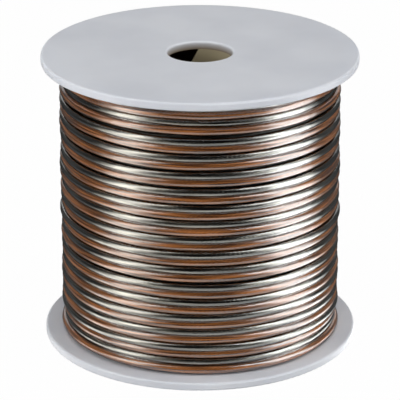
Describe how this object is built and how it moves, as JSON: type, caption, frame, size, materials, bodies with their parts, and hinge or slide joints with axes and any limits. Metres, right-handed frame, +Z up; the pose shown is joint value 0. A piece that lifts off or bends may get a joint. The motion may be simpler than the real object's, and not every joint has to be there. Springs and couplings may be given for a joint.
{
  "type": "wire spool",
  "caption": "Round plastic spool wound full with clear-jacketed twin lead, a tinned and a copper conductor side by side, with a spindle bore through its axis.",
  "frame": {"origin": "centre of the lower flange's underside, on the spool's axis", "axes": "+Z up the spool's axis from the lower flange to the upper one; the pictured side faces -Y; the wire's ends are tucked in at +Y"},
  "size_m": [0.1, 0.1, 0.094],
  "materials": {
    "natural_plastic": "satin moulded",
    "wound_layers": "gloss",
    "tinned_in_clear": "clear gloss over tinned strands",
    "copper_in_clear": "clear gloss over copper strands"
  },
  "bodies": {
    "root": {"lower_flange": "natural_plastic", "upper_flange": "natural_plastic", "barrel": "natural_plastic", "arbor_tube": "natural_plastic", "inner_windings": "wound_layers", "tinned_lead": "tinned_in_clear", "copper_lead": "copper_in_clear"}
  },
  "joints": []
}
